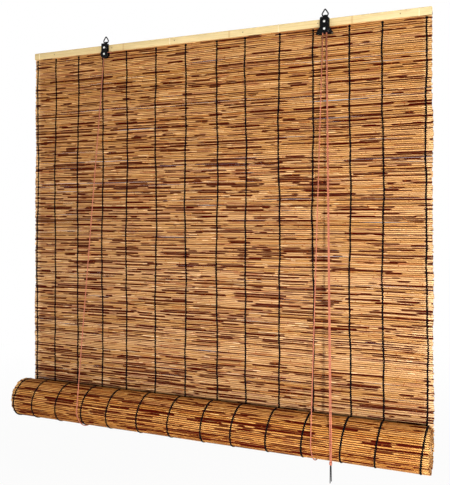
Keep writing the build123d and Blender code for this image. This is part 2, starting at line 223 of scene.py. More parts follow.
class Finish:
    """A material under construction."""

    def __init__(self, name):
        self.material = bpy.data.materials.new(name)
        self.material.use_nodes = True
        self.tree = self.material.node_tree
        self.tree.nodes.clear()
        self.shader = self.tree.nodes.new("ShaderNodeBsdfPrincipled")
        self.output = self.tree.nodes.new("ShaderNodeOutputMaterial")
        self.tree.links.new(self.shader.outputs[0], self.output.inputs[0])

    def join(self, socket, value):
        if isinstance(value, Value):
            self.tree.links.new(value.socket, socket)
        elif socket.type == "RGBA":
            socket.default_value = (*tuple(value)[:3], 1.0)
        else:
            socket.default_value = value

    def node(self, kind, settings, sockets, output=0):
        """Adds a node, its settings first, and gives one of its outputs."""
        node = self.tree.nodes.new(kind)
        for name, value in settings.items():
            setattr(node, name, value)
        for name, value in sockets.items():
            self.join(node.inputs[name], value)
        return Value(self, node.outputs[output])

    def point(self):
        """The point on its piece."""
        return self.node("ShaderNodeTexCoord", {}, {}, "Object")

    def place(self):
        """The point's X, Y and Z on its piece."""
        return self.split(self.point())

    def split(self, vector):
        node = self.node("ShaderNodeSeparateXYZ", {}, {0: vector}).socket.node
        return [Value(self, socket) for socket in node.outputs]

    def vector(self, x, y, z):
        return self.node("ShaderNodeCombineXYZ", {}, {0: x, 1: y, 2: z})

    def noise(self, vector, scale=1.0, detail=2.0, roughness=0.5):
        sockets = {"Vector": vector, "Scale": scale, "Detail": detail, "Roughness": roughness}
        return self.node("ShaderNodeTexNoise", {"noise_dimensions": "3D"}, sockets)

    def step(self, value, low, high):
        """0 below low, 1 above high and smooth between."""
        sockets = {"Value": value, "From Min": low, "From Max": high, "To Min": 0.0, "To Max": 1.0}
        return self.node("ShaderNodeMapRange", {"interpolation_type": "SMOOTHSTEP"}, sockets)

    def blend(self, share, first, second, how="MIX"):
        settings = {"data_type": "RGBA", "blend_type": how, "clamp_factor": True}
        return self.node("ShaderNodeMix", settings, {0: share, 6: first, 7: second}, 2)

    def attribute(self, name):
        return self.node("ShaderNodeAttribute", {"attribute_name": name}, {}, "Fac")

    def bump(self, height, strength, distance):
        sockets = {"Height": height, "Strength": strength, "Distance": distance}
        return self.node("ShaderNodeBump", {}, sockets)

    def surface(self, **sockets):
        """Sets the shader's sockets, named with _ for a space, and gives the material."""
        for name, value in sockets.items():
            self.join(self.shader.inputs[name.replace("_", " ")], value)
        return self.material


def reed_finish(name, colours, amber, shade):
    """Lacquered reed: streaked along its length, reed by reed, with joints, fine fibres and painted shade
    on the flanks where reeds meet.
    """
    f = Finish(name)
    x, y, z = f.place()
    reed = f.attribute("reed")
    side = f.attribute("side")
    lane = reed * 611.0

    slow = f.noise(f.vector(x * 3.0, lane, 0.5), detail=1.0)
    fibre = f.noise(f.vector(x * 30.0, y * 1500.0, z * 1500.0), detail=2.0)
    # Fewer streaks towards +X, so the right part of the mat is paler.
    worn_and_thinned = f.step(x, 0.0, 0.55) * 0.035

    def streaks(pace, level, scarce, wide, spread=1.2):
        """Stains that lie along a reed, narrow, with short points and frayed by the fibres."""
        there = f.noise(f.vector(x * pace, lane, level), detail=1.0) - worn_and_thinned
        there = f.step(there, scarce, scarce + 0.035)
        middle = ((reed * level * 7.0) % 1.0 - 0.5) * spread
        return f.step(there * wide - abs(side - middle) + (fibre - 0.5) * 0.6, -0.06, 0.1)

    tone = f.step(slow * 0.8 + (reed * 37.0) % 1.0 * 0.35, 0.3, 0.8)
    colour = f.blend(tone, colours.reed_tan, colours.reed_gold)
    colour = f.blend(streaks(9.0, 57.5, 0.6, 0.9) * 0.5, colour, colours.reed_mauve)
    colour = f.blend(streaks(9.0, 41.5, 0.59, 0.8) * 0.5, colour, colours.reed_brown)
    colour = f.blend(streaks(17.0, 29.5, 0.65, 0.45) * 0.7, colour, colours.reed_cream)
    end = f.step(abs(x), 0.574, 0.592)
    colour = f.blend(end * 0.55, colour, colours.reed_cream)
    # The mat is multiplied darker and more amber towards its top; the roll takes its amber share
    # throughout.
    amber_share = amber + f.step(z, -0.8, 0.0) * 0.32
    colour = f.blend(amber_share, colour, colours.roll_amber, "MULTIPLY")
    stain = streaks(11.5, 13.5, 0.482 - shade * 0.002, 0.64, 2.2)
    colour = f.blend(stain, colour, colours.reed_maroon)
    whole = streaks(9.0, 73.5, 0.675 - shade * 0.05, 0.68)
    colour = f.blend(whole * 0.9, colour, colours.reed_maroon)
    joint_gap = 0.21
    beat = (x + (reed * 53.0) % 1.0) / joint_gap
    joint = 1.0 - f.step(abs(beat % 1.0 - 0.5), 0.004, 0.011)
    colour = f.blend(joint * 0.6, colour, colours.reed_brown)
    # Painted shade: each reed is darkened on its flanks towards its neighbours, where shade falls between
    # the reeds; deeper and wider on the roll, lighter at the cut ends.
    crevice_shade = f.step(abs(side), 0.46 - shade * 0.1, 0.8 - shade * 0.1)
    colour = f.blend(crevice_shade * (0.7 + shade * 0.26 - end * 0.1), colour, colours.flank_shade_and_rust)
    colour = f.blend(0.25, colour, f.blend(fibre, (0.3, 0.25, 0.2), (1.0, 1.0, 1.0)), "MULTIPLY")
    return f.surface(
        Base_Color=colour,
        Roughness=0.46 + fibre * 0.24 + stain * 0.1,
        Normal=f.bump(fibre * 0.5 + joint * 0.6, 0.35, 0.0006),
        Specular_IOR_Level=0.03,
    )


def pith_finish(name, colours):
    """The cut end of a reed, pale with open pores."""
    f = Finish(name)
    x, y, z = f.place()
    pores = f.noise(f.vector(x * 300.0, y * 2600.0, z * 2600.0), detail=2.0)
    colour = f.blend(f.step(pores, 0.35, 0.62), colours.reed_brown, colours.reed_pith)
    return f.surface(Base_Color=colour, Roughness=0.85, Normal=f.bump(pores, 0.5, 0.0004))


def lath_finish(name, colours):
    """Planed bamboo strip: long pale fibres and a joint every third of a metre."""
    f = Finish(name)
    x, y, z = f.place()
    grain = f.noise(f.vector(x * 5.0, y * 420.0, z * 420.0), detail=3.0, roughness=0.6)
    vein = f.noise(f.vector(x * 14.0, y * 1300.0, z * 1300.0), detail=1.0)
    cloud = f.noise(f.vector(x * 2.4, y * 20.0, z * 30.0), detail=1.0)
    colour = f.blend(f.step(grain * 0.7 + cloud * 0.4, 0.35, 0.75), colours.lath_deep, colours.lath_pale)
    flecks = f.step(vein, 0.62, 0.7)
    colour = f.blend(flecks * 0.35, colour, colours.reed_tan)
    joint_gap = 0.34
    ring = 1.0 - f.step(abs((x / joint_gap + 0.31) % 1.0 - 0.5), 0.003, 0.012)
    colour = f.blend(ring * 0.45, colour, colours.reed_tan)
    return f.surface(
        Base_Color=colour,
        Roughness=0.42 + grain * 0.2,
        Normal=f.bump(grain * 0.5 + vein * 0.3 + ring * 0.8, 0.25, 0.0006),
    )


def twine_finish(name, colour, light):
    """Spun thread, fuzzy and dull."""
    f = Finish(name)
    x, y, z = f.place()
    fuzz = f.noise(f.vector(x * 1800.0, y * 1800.0, z * 1800.0), detail=3.0, roughness=0.7)
    ply = f.noise(f.vector(x * 900.0, y * 400.0, z * 700.0), detail=1.0)
    base = f.blend(f.step(fuzz * 0.6 + ply * 0.4, 0.35, 0.75), colour, light)
    return f.surface(
        Base_Color=base,
        Roughness=0.75 + fuzz * 0.2,
        Normal=f.bump(fuzz + ply, 0.6, 0.0004),
        Specular_IOR_Level=0.08,
    )


def braid_finish(name, light, deep):
    """Braided cord: strands that cross along the cord's own length."""
    f = Finish(name)
    along, around, _ = f.split(f.node("ShaderNodeUVMap", {"uv_map": "cord"}, {}))
    pace = 1500.0
    strands = 18.85
    left = (along * pace + around * strands).sine()
    right = (along * pace - around * strands).sine()
    over = f.step(left * right, -0.5, 0.5)
    point = f.point()
    fuzz = f.noise(point, scale=2200.0, detail=2.0)
    wear = f.noise(point, scale=22.0, detail=2.0)
    colour = f.blend(f.step(over * 0.6 + wear * 0.6 + fuzz * 0.2, 0.35, 1.05), deep, light)
    return f.surface(
        Base_Color=colour,
        Roughness=0.62 + fuzz * 0.25,
        Normal=f.bump(over + fuzz * 0.3, 0.7, 0.0005),
    )


def paint_finish(name, colours):
    """Black paint on pressed steel, with a fine orange peel and rubbed spots."""
    f = Finish(name)
    point = f.point()
    peel = f.noise(point, scale=900.0, detail=2.0)
    rub = f.noise(point, scale=160.0, detail=4.0, roughness=0.65)
    worn_and_thinned = f.step(rub, 0.66, 0.74)
    colour = f.blend(worn_and_thinned * 0.3, colours.paint, colours.steel)
    return f.surface(
        Base_Color=colour,
        Roughness=0.34 + peel * 0.18 + worn_and_thinned * 0.15,
        Metallic=worn_and_thinned * 0.5,
        Normal=f.bump(peel, 0.12, 0.0005),
        Specular_IOR_Level=0.1,
    )


def steel_finish(name, colour, spot, rough):
    """Steel with turning marks and small dulled spots."""
    f = Finish(name)
    point = f.point()
    spots = f.noise(point, scale=700.0, detail=3.0)
    brushed = f.noise(point, scale=2600.0, detail=1.0)
    return f.surface(
        Base_Color=f.blend(f.step(spots, 0.6, 0.72) * 0.3, colour, spot),
        Roughness=rough + spots * 0.16,
        Metallic=1.0,
        Normal=f.bump(brushed, 0.06, 0.0003),
    )


def moulded_finish(name, colours):
    """Dark moulded plastic with cord dust."""
    f = Finish(name)
    point = f.point()
    grain = f.noise(point, scale=1500.0, detail=2.0)
    dust = f.step(f.noise(point, scale=260.0, detail=3.0), 0.5, 0.75)
    colour = f.blend(dust * 0.25, colours.moulding, colours.cord_rose)
    return f.surface(
        Base_Color=colour, Roughness=0.42 + grain * 0.2 + dust * 0.2, Normal=f.bump(grain, 0.15, 0.0004)
    )


def cane_finish(name, colours):
    """The core cane: long fibres and a joint ring here and there."""
    f = Finish(name)
    x, y, z = f.place()
    fibre = f.noise(f.vector(x * 12.0, y * 700.0, z * 700.0), detail=3.0)
    joint_gap = 0.29
    ring = 1.0 - f.step(abs((x / joint_gap + 0.2) % 1.0 - 0.5), 0.004, 0.015)
    colour = f.blend(f.step(fibre, 0.35, 0.7), colours.reed_tan, colours.cane)
    colour = f.blend(ring * 0.6, colour, colours.reed_brown)
    normal = f.bump(fibre + ring, 0.3, 0.0006)
    return f.surface(Base_Color=colour, Roughness=0.45 + fibre * 0.2, Normal=normal)


def floor_finish(name, colours):
    """A pale floor that keeps a soft shadow and turns white further out."""
    f = Finish(name)
    x, y, z = f.place()
    dapple = f.noise(f.vector(x, y, z), scale=3.0)
    colour = f.blend(dapple * 0.04, colours.floor, (0.8, 0.8, 0.8))
    f.surface(Base_Color=colour, Roughness=0.7, Specular_IOR_Level=0.0)
    away = (x * x + y * y).root()
    rays = f.node("ShaderNodeLightPath", {}, {}).socket.node
    seen = Value(f, rays.outputs["Is Camera Ray"]) + Value(f, rays.outputs["Is Glossy Ray"])
    seen = seen + Value(f, rays.outputs["Is Transmission Ray"])
    share = seen * (0.92 + f.step(away, 0.6, 2.6) * 0.08)
    lit = Value(f, f.shader.outputs[0])
    glow = f.node("ShaderNodeEmission", {}, {"Color": (1.0, 1.0, 1.0)})
    f.join(f.output.inputs[0], f.node("ShaderNodeMixShader", {}, {0: share, 1: lit, 2: glow}))
    return f.material


FINISHES = {}


def finish_named(name):
    """The finish of that name, made once."""
    colours = bpy.context.scene.blind_colours
    makers = {
        "reed": (reed_finish, colours, 0.0, 0.0),
        # The rolled copy is multiplied more amber, has a few more stains, and has deeper, wider painted
        # shade between its reeds.
        "rolled reed": (reed_finish, colours, 0.55, 1.0),
        "pith": (pith_finish, colours),
        "lath": (lath_finish, colours),
        "twine": (twine_finish, colours.twine, colours.paint),
        "band": (twine_finish, colours.lath_pale, colours.band),
        "braid": (braid_finish, colours.cord_rose, colours.cord_brown),
        "bound end": (braid_finish, colours.cord_tip, colours.paint),
        "paint": (paint_finish, colours),
        "steel": (steel_finish, colours.steel, colours.reed_brown, 0.2),
        "nail": (steel_finish, colours.nail, colours.flank_shade_and_rust, 0.45),
        "moulding": (moulded_finish, colours),
        "cane": (cane_finish, colours),
        "floor": (floor_finish, colours),
    }
    if name not in FINISHES:
        maker, *settings = makers[name]
        FINISHES[name] = maker(name, *settings)
    return FINISHES[name]


# Building


def new_piece(name, shape, finishes):
    """An object at the origin with its finishes, from a finished mesh or from a bmesh."""
    mesh = shape
    if isinstance(shape, bmesh.types.BMesh):
        mesh = bpy.data.meshes.new(name)
        shape.to_mesh(mesh)
        shape.free()
    mesh.name = name
    mesh.materials.clear()
    for finish in finishes:
        mesh.materials.append(finish_named(finish))
    piece = bpy.data.objects.new(name, mesh)
    bpy.context.scene.collection.objects.link(piece)
    return piece


def set_piece(name, shape, finishes, body, slot, *nodes):
    """A piece on its body, in place of the plain solids. The slot is not used."""
    piece = new_piece(name, shape, finishes)
    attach(piece, body)
    if nodes:
        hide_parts(*nodes)
    return piece


def dress(node, finish):
    """Gives a carried-over solid a finish."""
    solid = bpy.data.objects[node]
    solid.data.materials.clear()
    solid.data.materials.append(finish_named(finish))


def shrink(piece, sizes, height):
    """Works out the share of a piece of that height that the roll's rise would keep, and gives the piece
    its own mesh; nothing shortens it.
    """
    keep = 1 - sizes.lift / height
    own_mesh(piece)


def curve_mesh(ways, kind, closed=False, **settings):
    """The mesh that a curve along lines of points gives."""
    curve = bpy.data.curves.new("line", "CURVE")
    curve.dimensions = "3D"
    for name, value in settings.items():
        setattr(curve, name, value)
    for way in ways:
        spline = curve.splines.new(kind)
        spline.points.add(len(way) - 1)
        for knot, point in zip(spline.points, way):
            knot.co = (*point, 1.0)
        spline.use_cyclic_u = closed
        if kind == "NURBS":
            spline.order_u = min(3, len(way))
            spline.use_endpoint_u = True
    holder = bpy.data.objects.new("line", curve)
    mesh = bpy.data.meshes.new_from_object(holder)
    bpy.data.objects.remove(holder)
    bpy.data.curves.remove(curve)
    return mesh


def smooth_line(points, steps):
    """The smooth line that a cord or wire takes between its route's points."""
    mesh = curve_mesh([points], "NURBS", resolution_u=steps)
    line = [vertex.co.copy() for vertex in mesh.vertices]
    bpy.data.meshes.remove(mesh)
    return line


def tube_mesh(ways, radius, sides=0, closed=False):
    """Round tubes along lines of points, as one mesh."""
    caps = not closed
    mesh = curve_mesh(
        ways, "POLY", closed, bevel_depth=radius, bevel_resolution=sides, use_fill_caps=caps
    )
    for face in mesh.polygons:
        face.use_smooth = True
    return mesh


def wrap(middle, radius, start, stop, corners):
    """Where a cord meets and leaves a round thing, and the corners of its line between."""
    step = (stop - start) / corners
    places = [(radius, start)]
    places += [(radius / math.cos(step / 2), start + step * (i + 0.5)) for i in range(corners)]
    places.append((radius, stop))
    x, y = middle
    return [(x + far * math.cos(angle), y + far * math.sin(angle)) for far, angle in places]


def between(first, second, share):
    """The point that lies at a share of the way from the first to the second."""
    return tuple(Vector(first).lerp(Vector(second), share))


def cord_shape(line, radius):
    """A cord's tube, with a map along and around it."""
    bm = bmesh.new()
    chart = bm.loops.layers.uv.new("cord")
    sides = 8
    travelled = 0.0
    last = None
    for i, point in enumerate(line):
        ahead = line[min(i + 1, len(line) - 1)] - line[max(i - 1, 0)]
        ahead.normalize()
        across = Vector((0, 1, 0)) if abs(ahead.y) < 0.8 else Vector((0, 0, 1))
        if last is not None:
            across = last
        across = (across - ahead * across.dot(ahead)).normalized()
        last = across
        turn = Matrix((across, ahead.cross(across), ahead)).transposed().to_4x4()
        turn.translation = point
        made = bmesh.ops.create_circle(bm, segments=sides, radius=radius, matrix=turn, cap_ends=False)
        loop = made["verts"]
        if i:
            step = (point - line[i - 1]).length
            edges = {edge for vertex in loop + ring for edge in vertex.link_edges}
            open_edges = [edge for edge in edges if edge.is_wire or edge.is_boundary]
            for face in bmesh.ops.bridge_loops(bm, edges=open_edges)["faces"]:
                places = [loop.index(v) if v in loop else ring.index(v) for v in face.verts]
                wraps = max(places) - min(places) > sides / 2
                for corner, place in zip(face.loops, places):
                    share = (place + sides * (wraps and place < sides / 2)) / sides
                    corner[chart].uv = (travelled + step * (corner.vert in loop), share)
                face.smooth = True
            travelled += step
        ring = loop
    ends = [edge for edge in bm.edges if edge.is_boundary]
    for cap in bmesh.ops.holes_fill(bm, edges=ends, sides=sides)["faces"]:
        for corner in cap.loops:
            corner[chart].uv = (0.0, 0.5)
    bmesh.ops.recalc_face_normals(bm, faces=bm.faces)
    return bm


def cord(name, route, sizes, body, *nodes, finish="braid", slot="cord", share=1.0, steps=8):
    """Makes a cord along its route and gives its piece and its line. The share thins it."""
    line = smooth_line(route, steps)
    shape = cord_shape(line, sizes.cord_diameter / 2 * share)
    return set_piece(name, shape, [finish], body, slot, *nodes), line


def declare_cord(line):
    """Adds up the length of a cord that hangs free; the sum is not used."""
    sum((b - a).length for a, b in zip(line, line[1:]))


def shade_smooth(bm):
    """Shades what turns gently."""
    for face in bm.faces:
        face.smooth = True
    for edge in bm.edges:
        edge.smooth = edge.calc_face_angle(0.0) < math.radians(40)


def soften(bm, rims, edge, segments=3):
    """Rounds the given edges."""
    bmesh.ops.bevel(
        bm,
        geom=rims,
        offset=edge,
        offset_type="OFFSET",
        affect="EDGES",
        segments=segments,
        profile=0.5,
        material=-1,
    )
    shade_smooth(bm)


def block(bm, size, middle):
    """Adds a box."""
    corners = bmesh.ops.create_cube(bm, size=1.0)["verts"]
    bmesh.ops.scale(bm, vec=size, verts=corners)
    bmesh.ops.translate(bm, vec=middle, verts=corners)


def turned(profile, middle, steps=24):
    """A turned piece about a line along Y: its profile is radius and place along the line."""
    bm = bmesh.new()
    x, z = middle
    points = [bm.verts.new((x + radius, y, z)) for radius, y in profile]
    edges = [bm.edges.new(pair) for pair in zip(points, points[1:])]
    bmesh.ops.spin(
        bm,
        geom=points + edges,
        cent=(x, 0, z),
        axis=(0, 1, 0),
        angle=2 * math.pi,
        steps=steps,
        use_merge=True,
    )
    bmesh.ops.remove_doubles(bm, verts=bm.verts, dist=1e-6)
    bmesh.ops.recalc_face_normals(bm, faces=bm.faces)
    shade_smooth(bm)
    return bm


def pressed_plate(outlines, reach, back, thickness, edge):
    """A sheet with rounded rims: its outline first, then its holes, in X and Z."""
    bm = bmesh.new()
    for outline in outlines:
        points = [bm.verts.new((reach + x, back, z)) for x, z in outline]
        for pair in zip(points, points[1:] + points[:1]):
            bm.edges.new(pair)
    bmesh.ops.triangle_fill(bm, edges=bm.edges, use_beauty=True)
    made = bmesh.ops.extrude_face_region(bm, geom=bm.faces)["geom"]
    moved = [item for item in made if isinstance(item, bmesh.types.BMVert)]
    bmesh.ops.translate(bm, verts=moved, vec=(0, -thickness, 0))
    bmesh.ops.recalc_face_normals(bm, faces=bm.faces)
    rims = []
    for item in bm.edges:
        caps = [abs(face.normal.y) > 0.9 for face in item.link_faces]
        if caps.count(True) == 1:
            rims.append(item)
    soften(bm, rims, edge)
    return bm


def curled_eye(bm, reach, axis, radius, thickness, half):
    """The plate's tongue curled round the ring's foot, almost to a full turn."""
    start = math.radians(-100)
    foot = []
    outer = radius + thickness
    for side, out in ((-half, radius), (half, radius), (half, outer), (-half, outer)):
        place = (axis[0] + math.cos(start) * out, axis[1] + math.sin(start) * out)
        foot.append(bm.verts.new((reach + side, *place)))
    strip = bm.faces.new(foot)
    bmesh.ops.spin(
        bm,
        geom=[*foot, *strip.edges, strip],
        cent=(reach, *axis),
        axis=(1, 0, 0),
        angle=math.radians(-330),
        steps=22,
    )
    bmesh.ops.recalc_face_normals(bm, faces=bm.faces)
    shade_smooth(bm)


def ring_of(radius, middle, steps, start=0.0, sweep=2 * math.pi):
    """Points on a circle in X and Z, or on a part of one."""
    count = steps if sweep >= 2 * math.pi else steps + 1
    angles = [start + sweep * i / steps for i in range(count)]
    x, z = middle
    return [(x + radius * math.cos(angle), z + radius * math.sin(angle)) for angle in angles]


def wave(x, z):
    """The slow rise and fall that neighbouring reeds share, from -1 to 1."""
    return 0.6 * math.sin(17.0 * x + 9.0 * z + 0.7) + 0.4 * math.sin(26.0 * x - 15.0 * z + 2.1)


def reed_bundle(places, sizes, seed, partings):
    """Reeds along X, each a little different. A place is Y, Z and the way out of the mat's face there."""
    chance = random.Random(seed)
    bm = bmesh.new()
    reed_layer = bm.verts.layers.float.new("reed")
    side_layer = bm.verts.layers.float.new("side")
    radius = sizes.reed_thickness / 2
    bmesh.ops.create_cone(
        bm,
        cap_ends=True,
        segments=sizes.reed_sides,
        radius1=radius,
        radius2=radius,
        depth=sizes.width,
        matrix=Matrix.Rotation(math.pi / 2, 4, "Y"),
    )
    long_edges = [e for e in bm.edges if abs(e.verts[0].co.x - e.verts[1].co.x) > radius]
    bmesh.ops.subdivide_edges(bm, edges=long_edges, cuts=sizes.reed_spans - 1, use_grid_fill=True)
    for face in bm.faces:
        cut = len(face.verts) == sizes.reed_sides and abs(face.normal.x) > 0.9
        face.material_index = 1 if cut else 0
        face.smooth = not cut
    for edge in bm.edges:
        edge.smooth = not any(face.material_index for face in edge.link_faces)
    model = list(bm.verts)
    pattern = model + list(bm.edges) + list(bm.faces)
    for row, (y, z, out_y, out_z) in enumerate(places):
        made = bmesh.ops.duplicate(bm, geom=pattern)["geom"]
        corners = [item for item in made if isinstance(item, bmesh.types.BMVert)]
        tone = chance.random()
        thick = chance.uniform(0.93, 1.06)
        taper = chance.uniform(-0.07, 0.07)
        twist = Matrix.Rotation(chance.random() * math.pi, 2)
        ends = [chance.uniform(-1, 0.6) * sizes.reed_end_play for _ in range(2)]
        slide = wave(0.37, 2.0 * z) * sizes.reed_slide
        bends = []
        for i in range(sizes.reed_spans + 1):
            x = sizes.width * (i / sizes.reed_spans - 0.5)
            shift = chance.gauss(0, 1) * sizes.reed_wander + wave(x, z) * sizes.reed_wave
            shift += partings.get((row, i), 0.0) * sizes.reed_parting
            bends.append((shift, chance.gauss(0, 1) * sizes.reed_wander, chance.uniform(0.96, 1.04)))
        for vertex in corners:
            share = vertex.co.x / sizes.width + 0.5
            shift, depth, swell = bends[round(share * sizes.reed_spans)]
            swell *= thick * (1 + taper * (2 * share - 1))
            x = vertex.co.x + slide + (-ends[0] if share < 0.01 else ends[1] if share > 0.99 else 0)
            across = twist @ vertex.co.yz
            vertex[reed_layer] = tone
            # The side runs from -1 to 1 across a reed, out towards its neighbours; the finish lays stains
            # and painted shade along it.
            vertex[side_layer] = (across.x * out_z - across.y * out_y) / radius
            vertex.co = (
                x,
                y + out_y * depth + out_z * shift + across.x * swell,
                z + out_z * depth - out_y * shift + across.y * swell,
            )
    bmesh.ops.delete(bm, geom=model, context="VERTS")
    return bm


def mat_rows(sizes):
    """Middles of the hanging reeds, top to bottom."""
    count = round((sizes.mat_top + sizes.drop) / sizes.reed_pitch)
    pitch = (sizes.mat_top + sizes.drop) / count
    return [sizes.mat_top - (i + 0.5) * pitch for i in range(count)]


def roll_axis(sizes):
    """Y of the roll's axis."""
    return -sizes.lath_thickness - sizes.roll_radius


def roll_place(sizes, turn, rise=0.0):
    """A point of the rolled mat's middle line, in Y and Z, moved outwards by the rise."""
    half = sizes.roll_radius + sizes.mat_middle + sizes.lath_thickness
    radius = half - sizes.roll_layer * turn + rise
    angle = -2 * math.pi * turn
    return roll_axis(sizes) + radius * math.cos(angle), -sizes.drop + radius * math.sin(angle)


def roll_turn_places(sizes, turns):
    """Shares of a turn at which the rolled reeds follow each other."""
    turn = 0.5 * sizes.reed_pitch / (2 * math.pi * sizes.roll_radius)
    places = []
    while turn < turns:
        places.append(turn)
        y, z = roll_place(sizes, turn)
        reach = math.hypot(y - roll_axis(sizes), z + sizes.drop)
        turn += sizes.reed_pitch / (2 * math.pi * reach)
    return places


def gear_places(sizes):
    """Y of the rail's front, of the brackets' front faces and of the wheels' middle."""
    rail = -2 * sizes.lath_thickness - sizes.mat_thickness
    plate = rail - sizes.plate_thickness
    return rail, plate - sizes.plate_gap - sizes.plate_thickness, plate - sizes.plate_gap / 2


# Operators


class BLIND_OT_stage(bpy.types.Operator):
    """Camera, soft light and pale floor"""

    bl_idname = "blind.stage"
    bl_label = "Stage"

    def execute(self, context):
        scene = context.scene
        scene.view_settings.view_transform = "Standard"
        camera = bpy.data.cameras.new("camera")
        camera.lens = 49.32
        camera.sensor_width = 36.0
        camera.shift_y = -0.0713
        camera.clip_end = 100.0
        viewer = bpy.data.objects.new("camera", camera)
        viewer.location = (0.779, -1.6897, -0.5009)
        viewer.rotation_euler = (math.pi / 2 + 0.0123, 0, 0.4094)
        scene.collection.objects.link(viewer)
        scene.camera = viewer

        world = bpy.data.worlds.new("soft room")
        world.use_nodes = True
        tree = world.node_tree
        tree.nodes.clear()
        rays = tree.nodes.new("ShaderNodeLightPath")
        seen = rays.outputs["Is Camera Ray"]
        for ray in ("Is Glossy Ray", "Is Transmission Ray"):
            either = tree.nodes.new("ShaderNodeMath")
            either.operation = "MAXIMUM"
            tree.links.new(seen, either.inputs[0])
            tree.links.new(rays.outputs[ray], either.inputs[1])
            seen = either.outputs[0]
        mix = tree.nodes.new("ShaderNodeMixShader")
        tree.links.new(seen, mix.inputs[0])
        room = (1.0, 0.985, 0.96, 1)
        for socket, tone, strength in ((1, room, 0.33), (2, (1, 1, 1, 1), 1.0)):
            light = tree.nodes.new("ShaderNodeBackground")
            light.inputs["Color"].default_value = tone
            light.inputs["Strength"].default_value = strength
            tree.links.new(light.outputs[0], mix.inputs[socket])
        output = tree.nodes.new("ShaderNodeOutputWorld")
        tree.links.new(mix.outputs[0], output.inputs[0])
        scene.world = world

        for name, place, aim, size, power in (
            ("key", (1.2, -2.0, -0.66), (0.2, 0, -3.0), 0.14, 79.0),
            ("fill", (-1.9, -2.2, -0.7), (0, 0, -0.9), 1.8, 14.0),
            ("rear", (0.6, 2.6, 1.2), (0, 0, -0.5), 2.0, 30.0),
        ):
            lamp = bpy.data.lights.new(name, "AREA")
            lamp.shape = "DISK"
            lamp.size = size
            lamp.energy = power
            holder = bpy.data.objects.new(name, lamp)
            holder.location = place
            away = Vector(place) - Vector(aim)
            holder.rotation_euler = away.to_track_quat("Z", "Y").to_euler()
            scene.collection.objects.link(holder)

        floor_reach = 9.0
        floor_z = -1.3
        bm = bmesh.new()
        bmesh.ops.create_circle(bm, cap_ends=True, cap_tris=False, segments=64, radius=floor_reach)
        bmesh.ops.translate(bm, verts=bm.verts, vec=(0, 0, floor_z))
        floor = new_piece("floor", bm, ["floor"])
        return {"FINISHED"}


class BLIND_OT_lift_cords(bpy.types.Operator):
    """Lift cords: behind the mat, under the roll, up in front and across to the lock"""

    bl_idname = "blind.lift_cords"
    bl_label = "Lift cords"

    def execute(self, context):
        sizes = context.scene.blind_sizes
        stand = 0.0016
        bend = 0.004
        axis_y = roll_axis(sizes)
        sling = sizes.roll_radius + stand
        wheel_z = -sizes.wheel_drop
        top_z = wheel_z + sizes.cord_pitch
        back_y = -sizes.lath_thickness + stand
        below_rail = -sizes.rail_height / 2
        groove_y = gear_places(sizes)[2]
        front_groove = groove_y - sizes.groove_spread
        rear_groove = groove_y + sizes.groove_spread
        for name, reach, x, y in (
            ("left", -sizes.bracket_reach, sizes.left_foot, groove_y),
            ("right", sizes.bracket_reach, sizes.right_foot, front_groove),
        ):
            side = reach - sizes.cord_pitch
            top = (side, y, wheel_z - sizes.cord_lead)
            away = (y - axis_y, top[2] + sizes.drop)
            angle = math.atan2(away[1], away[0]) + math.acos(sling / math.hypot(*away))
            meet = (x, axis_y + sling * math.cos(angle), -sizes.drop + sling * math.sin(angle))
            hold = between(meet, top, sizes.cord_rise / (top[2] - meet[2]))
            cord(name + "_lead_cord", [(side, y, wheel_z), top], sizes, "headrail")
            leg, _ = cord(name + "_front_cord", [hold, top], sizes, "headrail", name + "_cord_front")
            shrink(leg, sizes, top[2] - hold[2])
            under = wrap((axis_y, -sizes.drop), sling, 0.0, angle - 2 * math.pi, 5)
            route = [(x, *place) for place in under] + [hold]
            cord(name + "_sling", route, sizes, "cord_slings", name + "_cord_sling")
            route = [(x, back_y, below_rail), (x, back_y, -sizes.drop)]
            leg, _ = cord(name + "_rear_cord", route, sizes, "headrail", name + "_cord_behind")
            shrink(leg, sizes, sizes.drop + below_rail)

        def over(reach, y, start, stop):
            """The route over a wheel, by angle from +X."""
            corners = round((start - stop) / 45)
            turn = (math.radians(start), math.radians(stop), corners)
            return [(x, y, z) for x, z in wrap((reach, wheel_z), sizes.cord_pitch, *turn)]

        pass_x = sizes.bracket_reach - sizes.cross_pass
        route = over(-sizes.bracket_reach, groove_y, 180, 90)
        route += [
            (-pass_x - bend, groove_y, top_z),
            (-pass_x, groove_y, top_z),
            (-pass_x, groove_y + bend, top_z),
            (-pass_x, back_y - bend, top_z),
            (-pass_x, back_y, top_z),
            (-pass_x + bend, back_y, top_z),
            (0, back_y, top_z),
            (pass_x - bend, back_y, top_z),
            (pass_x, back_y, top_z),
            (pass_x, back_y - bend, top_z),
            (pass_x, rear_groove + bend, top_z),
            (pass_x, rear_groove, top_z),
            (pass_x + bend, rear_groove, top_z),
        ]
        route += over(sizes.bracket_reach, rear_groove, 90, 0)
        cord("cross_run", route, sizes, "headrail", "cross_cord")
        route = over(sizes.bracket_reach, front_groove, 180, 0)
        cord("lock_turn", route, sizes, "headrail", "right_cord_over_lock")
        return {"FINISHED"}


